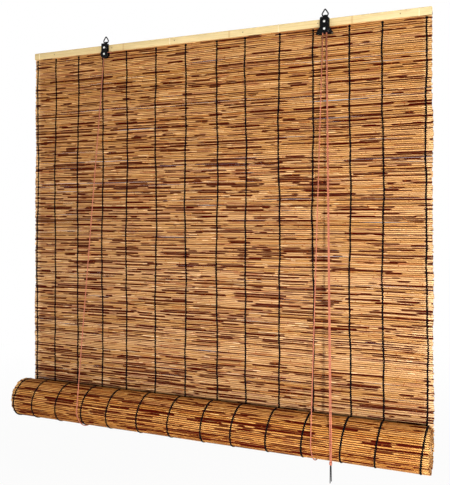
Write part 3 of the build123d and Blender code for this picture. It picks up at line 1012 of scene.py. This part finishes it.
class BLIND_OT_pull_cords(bpy.types.Operator):
    """The two pull cords, their knot and their bound ends"""

    bl_idname = "blind.pull_cords"
    bl_label = "Pull cords"

    def execute(self, context):
        sizes = context.scene.blind_sizes
        roll_gap = 0.0008
        contact_rise = 0.01
        plumb = 0.02
        knot_lead = 0.012
        knot_lean = 0.0012
        pull_lean = 0.0003
        start_x = sizes.bracket_reach + sizes.cord_pitch
        front_y = roll_axis(sizes) - sizes.roll_radius - sizes.cord_diameter / 2 - roll_gap
        contact_z = -sizes.drop + contact_rise
        knot_z = -sizes.drop - sizes.knot_drop
        groove_y = gear_places(sizes)[2]
        left_x = sizes.bracket_reach + sizes.pull_reach
        knot_x = left_x + sizes.pull_spread / 2
        for name, lean, y, x, nodes in (
            ("left", -1, groove_y - sizes.groove_spread, left_x, ["pull_cord_drop"]),
            ("right", 1, groove_y + sizes.groove_spread, left_x + sizes.pull_spread, []),
        ):
            wheel = (start_x, y, -sizes.wheel_drop)
            top = (start_x, y, wheel[2] - sizes.cord_lead)
            end = (x, front_y, contact_z)
            hold = between(end, top, sizes.cord_rise / (top[2] - contact_z))
            cord(name + "_pull_lead", [wheel, top], sizes, "headrail")
            strand, line = cord(name + "_pull", [top, hold], sizes, "headrail", "pull_cord_" + name)
            shrink(strand, sizes, top[2] - hold[2])
            declare_cord(line)
            low = (x, front_y, contact_z - plumb)
            near = (x - lean * pull_lean, front_y, knot_z + knot_lead)
            into = (knot_x + lean * knot_lean, front_y, knot_z)
            route = [hold, end, low, near, into]
            drop, line = cord(name + "_pull_end", route, sizes, "cord_slings", *nodes)
            declare_cord(line)

        turns = 3
        knot_radius = 0.0024
        knot_height = 0.0072
        coil = wrap((knot_x, front_y), knot_radius, 0.0, 2 * math.pi * turns, 6 * turns)
        fall = knot_height / (len(coil) - 1)
        route = [(*place, knot_z + 0.0003 - fall * i) for i, place in enumerate(coil)]
        cord("pull_knot", route, sizes, "cord_slings", "pull_cord_knot", steps=6)

        slim = 0.9
        look = {"finish": "bound end", "slot": "cord_tip", "share": slim}
        for name, lean, fall, nodes in (("left", -1, 0.0435, ["pull_cord_tail"]), ("right", 1, 0.039, [])):
            route = [
                (knot_x + lean * 0.001, front_y, knot_z - 0.006),
                (knot_x + lean * 0.0012, front_y, knot_z - 0.022),
                (knot_x + lean * 0.0013, front_y, knot_z - 0.036),
                (knot_x + lean * 0.0014, front_y + lean * 0.0006, knot_z - 0.007 - fall),
            ]
            tail, line = cord(name + "_tail", route, sizes, "cord_slings", *nodes, **look)
            declare_cord(line)
        return {"FINISHED"}


class BLIND_OT_hanging_reeds(bpy.types.Operator):
    """The reeds of the hanging mat"""

    bl_idname = "blind.hanging_reeds"
    bl_label = "Hanging reeds"

    def execute(self, context):
        sizes = context.scene.blind_sizes
        rows = mat_rows(sizes)
        places = [(sizes.mat_middle, z, -1.0, 0.0) for z in rows]
        first_slit = 6
        last_slit = len(rows) - 23
        slit_rows = 9
        partings = {}
        for n, row in enumerate(range(first_slit, last_slit, slit_rows)):
            span = 1 + n * 4 % (sizes.reed_spans - 1)
            partings[(row - 1, span)] = 1.0
            partings[(row, span)] = -1.0
        bm = reed_bundle(places, sizes, 7, partings)
        reeds = set_piece("hanging_reeds", bm, ["reed", "pith"], "headrail", "reed", "hanging_mat")
        below_rail = -sizes.rail_height / 2
        shrink(reeds, sizes, sizes.drop + below_rail)
        return {"FINISHED"}


class BLIND_OT_rolled_reeds(bpy.types.Operator):
    """The reeds of the rolled mat, turn on turn, and the cane in its middle"""

    bl_idname = "blind.rolled_reeds"
    bl_label = "Rolled reeds"

    def execute(self, context):
        sizes = context.scene.blind_sizes
        places = []
        for turn in roll_turn_places(sizes, sizes.roll_turns):
            angle = -2 * math.pi * turn
            places.append((*roll_place(sizes, turn), math.cos(angle), math.sin(angle)))
        bm = reed_bundle(places, sizes, 21, {})
        set_piece("rolled_reeds", bm, ["rolled reed", "pith"], "roll", "reed", "mat_roll")
        dress("core_rod", "cane")
        return {"FINISHED"}


class BLIND_OT_warp_strings(bpy.types.Operator):
    """Twined strings that bind the reeds, on the hanging mat and round the roll"""

    bl_idname = "blind.warp_strings"
    bl_label = "Warp strings"

    def execute(self, context):
        sizes = context.scene.blind_sizes
        rise = sizes.reed_thickness / 2 - sizes.thread_radius * 0.25
        rows = mat_rows(sizes)
        pitch = rows[0] - rows[1]
        below_cord = -sizes.wheel_drop + sizes.cord_pitch - sizes.cord_diameter
        below_rail = -sizes.rail_height / 2
        start = below_rail - 0.0008
        grip = 0.34
        turns = roll_turn_places(sizes, 1.02)
        step = turns[1] - turns[0]
        hanging = []
        rolled = []
        for share in sizes.strings:
            x = share * sizes.width / 2
            for side in (-1, 1):
                way = []
                for i, z in enumerate(rows):
                    if z + pitch / 2 > start:
                        continue
                    over = side if i % 2 else -side
                    sway = (wave(9.0 * x, z) + 0.4 * wave(31.0 * x, 5.0 * z)) * sizes.string_sway
                    if z + pitch / 2 > below_cord:
                        over = -1
                        sway += side * sizes.thread_lean
                    for lean in (1, -1):
                        place_x = x + lean * sizes.thread_lean + sway
                        way.append((place_x, sizes.mat_middle + over * rise, z + lean * grip * pitch))
                hanging.append(way)
                way = []
                for i, turn in enumerate(turns):
                    over = side if i % 2 else -side
                    drift = -sizes.string_drift * math.sin(2 * math.pi * turn)
                    for lean in (1, -1):
                        place = roll_place(sizes, turn - lean * grip * step, over * rise)
                        way.append((x + lean * sizes.thread_lean + drift, *place))
                rolled.append(way)
        mesh = tube_mesh(hanging, sizes.thread_radius)
        strings = set_piece("hanging_strings", mesh, ["twine"], "headrail", "string", "warp_strings")
        shrink(strings, sizes, sizes.drop + below_rail)
        mesh = tube_mesh(rolled, sizes.thread_radius)
        set_piece("rolled_strings", mesh, ["twine"], "roll", "string", "roll_strings")
        return {"FINISHED"}


class BLIND_OT_headrail(bpy.types.Operator):
    """The two laths, their brads and their thread bands"""

    bl_idname = "blind.headrail"
    bl_label = "Headrail"

    def execute(self, context):
        sizes = context.scene.blind_sizes
        thick = sizes.lath_thickness
        for name, back in (("front", -thick - sizes.mat_thickness), ("back", 0.0)):
            middle = back - thick / 2
            bm = bmesh.new()
            block(bm, (sizes.width, thick, sizes.rail_height), (0, middle, 0))
            if name == "front":
                rims = [e for e in bm.edges if all(v.co.y < middle for v in e.verts)]
                rims = [e for e in rims if e.calc_length() > sizes.rail_height * 2]
                soften(bm, rims, sizes.lath_edge, 4)
            else:
                shade_smooth(bm)
            set_piece(name + "_strip", bm, ["lath"], "headrail", "lath", name + "_lath")
        bm = bmesh.new()
        front = gear_places(sizes)[0]
        point_y = -0.0005
        span = sizes.width - 2 * sizes.brad_inset
        for i in range(sizes.brads):
            x = span * (i / (sizes.brads - 1) - 0.5)
            for wide, start, stop in (
                (sizes.brad_head, front - sizes.brad_rise, front),
                (sizes.brad_size, front, point_y),
            ):
                block(bm, (wide, stop - start, wide), (x, (start + stop) / 2, 0))
        brad_edge = 0.0002
        soften(bm, list(bm.edges), brad_edge)
        set_piece("square_brads", bm, ["nail"], "headrail", "rivet", "lath_brads")
        dress("lath_ties", "band")
        return {"FINISHED"}


class BLIND_OT_brackets(bpy.types.Operator):
    """The two hanging brackets: plates, rivets, spacers and posts"""

    bl_idname = "blind.brackets"
    bl_label = "Brackets"

    def execute(self, context):
        sizes = context.scene.blind_sizes
        rail_front, cover_front, _ = gear_places(sizes)
        cover_back = cover_front + sizes.plate_thickness
        plate_front = rail_front - sizes.plate_thickness
        edge = 0.0003
        top = 0.013
        half = 0.0095
        cheek_radius = 0.0125
        hole_radius = 0.0019
        slot_radius = 0.0013
        neck_half = 0.0038
        bore = sizes.ring_wire + 0.00008
        cheek = math.asin(half / cheek_radius)
        sweep = 2 * math.pi - 2 * cheek
        round_cheek = ring_of(cheek_radius, (0, -sizes.wheel_drop), 20, math.pi / 2 + cheek, sweep)
        strap = [(-half, top), *round_cheek, (half, top)]
        half_bell = [(0.008, -0.029), (0.008, -0.032), (0.019, -0.032), (0.0204, -0.0312), (0.022, -0.029)]
        half_bell += [(0.0115, -0.012), (0.0115, top - 0.0035), (0.0108, top - 0.0016), (0.008, top)]
        bell = [(-x, z) for x, z in half_bell[::-1]] + half_bell
        high, low = (0.0095, -0.024), (0.01237, -0.0281)
        slope = math.radians(-55)
        slot = ring_of(slot_radius, low, 8, slope - math.pi / 2, math.pi)
        slot += ring_of(slot_radius, high, 8, slope + math.pi / 2, math.pi)
        neck = [(0.005, top), (0.0045, top + 0.0007), (neck_half, top + 0.0012)]
        neck.append((neck_half, sizes.eye_height - bore - 0.0002))

        dome = [(0.0, -0.0013), (0.0011, -0.0012), (0.0021, -0.0009), (0.0029, -0.0004), (0.0032, 0.0)]
        head = [(r, cover_front + y) for r, y in dome]
        long_shank = [(0.0016, cover_front), (0.0016, -0.0005), (0.0, -0.0005)]
        short_shank = [(0.0018, cover_front), (0.0018, rail_front), (0.0032, rail_front)]
        short_shank += [(0.0029, rail_front + 0.0009), (0.0, rail_front + 0.0012)]
        tube = [(0.0017, plate_front), (0.0042, plate_front), (0.0042, cover_back), (0.0017, cover_back)]
        for name, reach, outline, extra in (
            ("pulley", -sizes.bracket_reach, strap, []),
            ("lock", sizes.bracket_reach, bell, [slot]),
        ):
            heights = (sizes.fixing_height, -sizes.wheel_drop)
            holes = [ring_of(hole_radius, (0, z), 12) for z in heights] + extra
            bm = pressed_plate([outline, *holes], reach, cover_back, sizes.plate_thickness, edge)
            set_piece(name + "_front_plate", bm, ["paint"], "headrail", "black_steel", name + "_cover")

            whole = outline + neck + [(-x, z) for x, z in neck[::-1]]
            bm = pressed_plate([whole, *holes], reach, rail_front, sizes.plate_thickness, edge)
            axis = (rail_front - sizes.plate_thickness / 2, sizes.eye_height)
            curled_eye(bm, reach, axis, bore, sizes.plate_thickness, neck_half)
            set_piece(name + "_back_plate", bm, ["paint"], "headrail", "black_steel", name + "_hanger")

            for part, profile, z, node in (
                ("_rail_rivet", head + long_shank, sizes.fixing_height, "_fixing"),
                ("_wheel_rivet", head + short_shank, -sizes.wheel_drop, "_axle"),
                ("_tube", tube + tube[:1], sizes.fixing_height, "_spacer"),
            ):
                bm = turned(profile, (reach, z))
                set_piece(name + part, bm, ["steel"], "headrail", "rivet", name + node)

        post_radius = 0.002
        post_reach = 0.018
        post_z = -0.0285
        post = [(0.0, plate_front), (post_radius, plate_front)]
        post += [(post_radius, cover_back), (0.0, cover_back)]
        for name, side, nodes in (("left", -1, []), ("right", 1, ["lock_posts"])):
            bm = turned(post, (sizes.bracket_reach + side * post_reach, post_z))
            set_piece(name + "_post", bm, ["steel"], "headrail", "rivet", *nodes)
        return {"FINISHED"}


class BLIND_OT_wheels(bpy.types.Operator):
    """The grooved wheels and the toothed lock roller"""

    bl_idname = "blind.wheels"
    bl_label = "Wheels"

    def execute(self, context):
        sizes = context.scene.blind_sizes
        groove_y = gear_places(sizes)[2]
        play = 0.0003
        half = sizes.plate_gap / 2 - play
        dish = half - 0.0004
        groove = [(0.0075, -0.00195), (0.0071, -0.00188), (0.0045, -0.0016), (0.0036, -0.0011)]
        groove += [(0.00335, 0.0)] + [(r, -y) for r, y in groove[::-1]]
        for name, reach, places in (
            ("pulley", -sizes.bracket_reach, (0.0,)),
            ("lock", sizes.bracket_reach, (-sizes.groove_spread, sizes.groove_spread)),
        ):
            profile = [(0.00185, -half), (0.0032, -half), (0.0037, -dish), (0.0062, -dish)]
            profile += [(0.0067, -half), (0.0075, -half)]
            ends = [(r, -y) for r, y in profile[::-1]]
            for place in places:
                profile += [(r, place + y) for r, y in groove]
            profile += ends + profile[:1]
            bm = turned([(r, groove_y + y) for r, y in profile], (reach, -sizes.wheel_drop), 32)
            wheel = name + "_wheel"
            set_piece(name + "_turned_wheel", bm, ["moulding"], wheel, "wheel_plastic", wheel)
        dress("lock_roller", "moulding")
        return {"FINISHED"}


class BLIND_OT_rings(bpy.types.Operator):
    """The two bent-wire hanging rings"""

    bl_idname = "blind.rings"
    bl_label = "Rings"

    def execute(self, context):
        sizes = context.scene.blind_sizes
        axis_y = gear_places(sizes)[0] - sizes.plate_thickness / 2
        outline = [(0, 0), (0.0044, 0), (0.006, 0.00025), (0.0077, 0.0034), (0.00815, 0.0055)]
        outline += [(0.0074, 0.0074), (0.0012, 0.0169), (0, 0.0175)]
        for name, reach in (("pulley", -sizes.bracket_reach), ("lock", sizes.bracket_reach)):
            right = [(reach + x, axis_y, sizes.eye_height + z) for x, z in outline]
            left = [(reach - x, axis_y, sizes.eye_height + z) for x, z in outline[1:-1]]
            wire = smooth_line(right + left[::-1] + [right[0]], 5)
            mesh = tube_mesh([wire[:-1]], sizes.ring_wire, sides=3, closed=True)
            ring = name + "_ring"
            set_piece(name + "_wire_ring", mesh, ["paint"], ring, "black_steel", ring)
        return {"FINISHED"}


class BLIND_PT_panel(bpy.types.Panel):
    """Lists the steps that build the blind"""

    bl_idname = "BLIND_PT_panel"
    bl_label = "Reed blind"
    bl_space_type = "VIEW_3D"
    bl_region_type = "UI"
    bl_category = "Blind"

    def draw(self, context):
        for step in STEPS:
            self.layout.operator(step.bl_idname)
        for group in (context.scene.blind_sizes, context.scene.blind_colours):
            for name in group.__annotations__:
                self.layout.prop(group, name)


STEPS = (
    BLIND_OT_stage,
    BLIND_OT_lift_cords,
    BLIND_OT_pull_cords,
    BLIND_OT_hanging_reeds,
    BLIND_OT_rolled_reeds,
    BLIND_OT_warp_strings,
    BLIND_OT_headrail,
    BLIND_OT_brackets,
    BLIND_OT_wheels,
    BLIND_OT_rings,
)
CLASSES = (BlindSizes, BlindColours, *STEPS, BLIND_PT_panel)


def register():
    for item in CLASSES:
        bpy.utils.register_class(item)
    bpy.types.Scene.blind_sizes = PointerProperty(type=BlindSizes)
    bpy.types.Scene.blind_colours = PointerProperty(type=BlindColours)


def unregister():
    del bpy.types.Scene.blind_colours
    del bpy.types.Scene.blind_sizes
    for item in reversed(CLASSES):
        bpy.utils.unregister_class(item)


def main():
    register()
    bpy.ops.blind.stage()
    bpy.ops.blind.lift_cords()
    bpy.ops.blind.pull_cords()
    bpy.ops.blind.hanging_reeds()
    bpy.ops.blind.rolled_reeds()
    bpy.ops.blind.warp_strings()
    bpy.ops.blind.headrail()
    bpy.ops.blind.brackets()
    bpy.ops.blind.wheels()
    bpy.ops.blind.rings()


if __name__ == "__main__":
    main()
